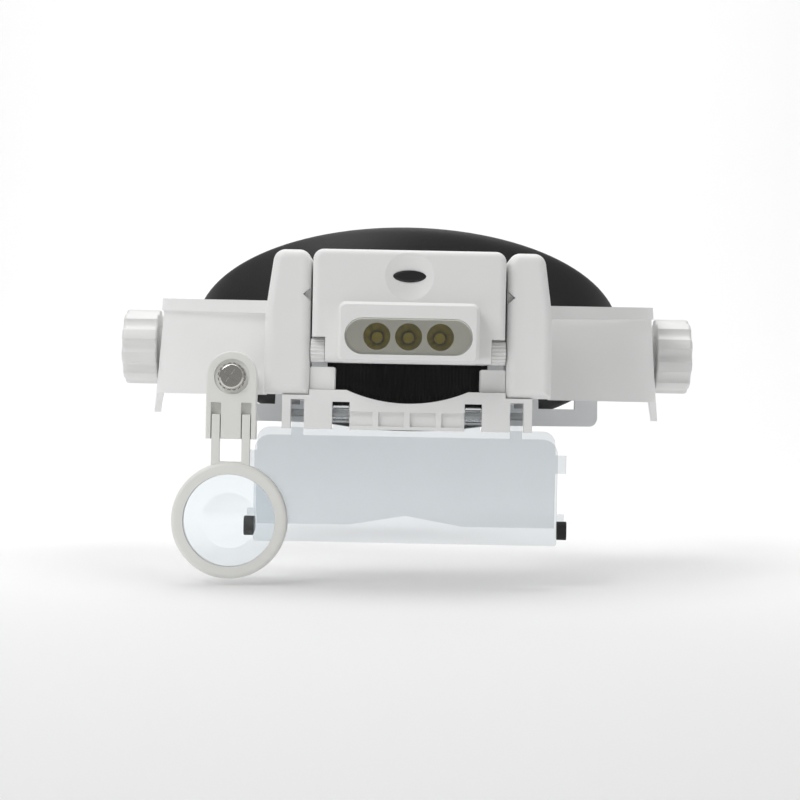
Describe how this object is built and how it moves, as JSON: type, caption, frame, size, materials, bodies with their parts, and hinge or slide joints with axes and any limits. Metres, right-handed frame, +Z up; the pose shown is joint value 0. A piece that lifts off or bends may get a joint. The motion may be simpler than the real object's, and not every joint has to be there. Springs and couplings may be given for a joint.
{
  "type": "head visor magnifier",
  "caption": "Head-worn magnifier visor with a padded adjustable headband, tilting lamp box, hinged clear lens plates and a swing-out round loupe.",
  "frame": {"origin": "midpoint of the line through the two temple pivots, inside the wearer's head space", "axes": "+Z up, -Y the way the wearer looks, +X the side seen on the right from the front"},
  "size_m": [0.222, 0.266, 0.1206],
  "materials": {
    "white_shell": "satin, fine moulded grain",
    "cream_frame": "satin, slightly warm",
    "band_plastic": "matte",
    "knob_plastic": "matte",
    "pad_leatherette": "fine-grained black leatherette over foam",
    "clear_acrylic": "clear, polished",
    "loupe_glass": "clear, polished",
    "black_rubber": "matte",
    "black_button": "matte",
    "chrome_plate": "polished",
    "steel": "zinc plated",
    "nylon": "matte",
    "brass_insert": "plain",
    "bright_reflector": "vacuum metallised plastic",
    "led_phosphor": "yellow phosphor",
    "circuit_board": "white solder mask",
    "cell_jacket": "printed sleeve"
  },
  "bodies": {
    "headband": {"band_frame": "band_plastic", "forehead_pad": "pad_leatherette", "left_strap_keeper": "band_plastic", "right_strap_keeper": "band_plastic", "left_pivot_bolt": "steel", "right_pivot_bolt": "steel", "left_friction_washer": "nylon", "right_friction_washer": "nylon", "left_knob_washer": "steel", "right_knob_washer": "steel"},
    "rear_cradle": {"rear_housing": "band_plastic", "housing_plate": "band_plastic", "housing_screws": "steel", "rear_pad": "pad_leatherette", "left_rear_strap": "band_plastic", "right_rear_strap": "band_plastic"},
    "adjuster": {"rear_dial": "knob_plastic"},
    "visor": {"visor_shell": "white_shell", "tower_screws": "steel", "lens_carrier": "white_shell", "carrier_screws": "steel", "lens_pins": "white_shell", "lamp_pins": "steel", "loupe_post": "white_shell", "loupe_screw": "chrome_plate", "left_tower_cover": "white_shell", "right_tower_cover": "white_shell", "left_latch_block": "white_shell", "right_latch_block": "white_shell"},
    "left_knob": {"left_tilt_knob": "knob_plastic", "left_knob_insert": "brass_insert"},
    "right_knob": {"right_tilt_knob": "knob_plastic", "right_knob_insert": "brass_insert"},
    "lamp": {"lamp_case": "white_shell", "led_board": "circuit_board", "leds": "led_phosphor", "reflector": "bright_reflector", "lamp_window": "clear_acrylic", "battery_cells": "cell_jacket", "battery_contacts": "steel", "push_switch": "black_button", "left_ratchet_hub": "white_shell", "right_ratchet_hub": "white_shell"},
    "battery_door": {"battery_cover": "white_shell"},
    "button": {"power_button": "black_button"},
    "inner_lens": {"rear_lens": "clear_acrylic"},
    "outer_lens": {"front_lens": "clear_acrylic", "lens_bumpers": "black_rubber"},
    "loupe_arm": {"loupe_bracket": "white_shell", "loupe_washer": "chrome_plate"},
    "loupe": {"loupe_frame": "cream_frame", "loupe_lens": "loupe_glass", "loupe_retainer": "cream_frame"}
  },
  "joints": [
    {"name": "visor_tilt", "type": "hinge", "parent": "headband", "child": "visor", "pos_m": [0, 0, 0], "axis": [1, 0, 0], "range_deg": [-50, 3]},
    {"name": "left_knob_turn", "type": "hinge", "parent": "headband", "child": "left_knob", "pos_m": [-0.104, 0, 0], "axis": [1, 0, 0], "range_deg": [-90, 90]},
    {"name": "right_knob_turn", "type": "hinge", "parent": "headband", "child": "right_knob", "pos_m": [0.104, 0, 0], "axis": [1, 0, 0], "range_deg": [-90, 90]},
    {"name": "rear_adjust", "type": "slide", "parent": "headband", "child": "rear_cradle", "axis": [0, 1, 0], "range_m": [-0.0115, 0.014]},
    {"name": "dial_turn", "type": "hinge", "parent": "rear_cradle", "child": "adjuster", "pos_m": [0, 0.131, 0], "axis": [0, 1, 0], "range_deg": [-189, 230]},
    {"name": "lamp_tilt", "type": "hinge", "parent": "visor", "child": "lamp", "pos_m": [0, -0.1142, -0.0032], "axis": [1, 0, 0], "range_deg": [0, 35]},
    {"name": "battery_door_slide", "type": "slide", "parent": "lamp", "child": "battery_door", "axis": [0, 0, 1], "range_m": [0, 0.015]},
    {"name": "button_press", "type": "slide", "parent": "lamp", "child": "button", "axis": [0, 1, 0], "range_m": [0, 0.0008], "stiffness_N_per_m": 400},
    {"name": "inner_lens_flip", "type": "hinge", "parent": "visor", "child": "inner_lens", "pos_m": [0, -0.114, -0.024], "axis": [1, 0, 0], "range_deg": [0, 46]},
    {"name": "outer_lens_drop", "type": "slide", "parent": "visor", "child": "outer_lens", "axis": [0, 0, -1], "range_m": [0, 0.008]},
    {"name": "loupe_swing", "type": "hinge", "parent": "visor", "child": "loupe_arm", "pos_m": [-0.0575, -0.121, -0.0126], "axis": [0, 1, 0], "range_deg": [-35, 120]},
    {"name": "loupe_extend", "type": "slide", "parent": "loupe_arm", "child": "loupe", "axis": [0, 0, -1], "range_m": [-0.003, 0.008]}
  ],
  "couplings": [
    {"joint": "dial_turn", "follows": "rear_adjust", "rad_per_m": 285.71}
  ]
}
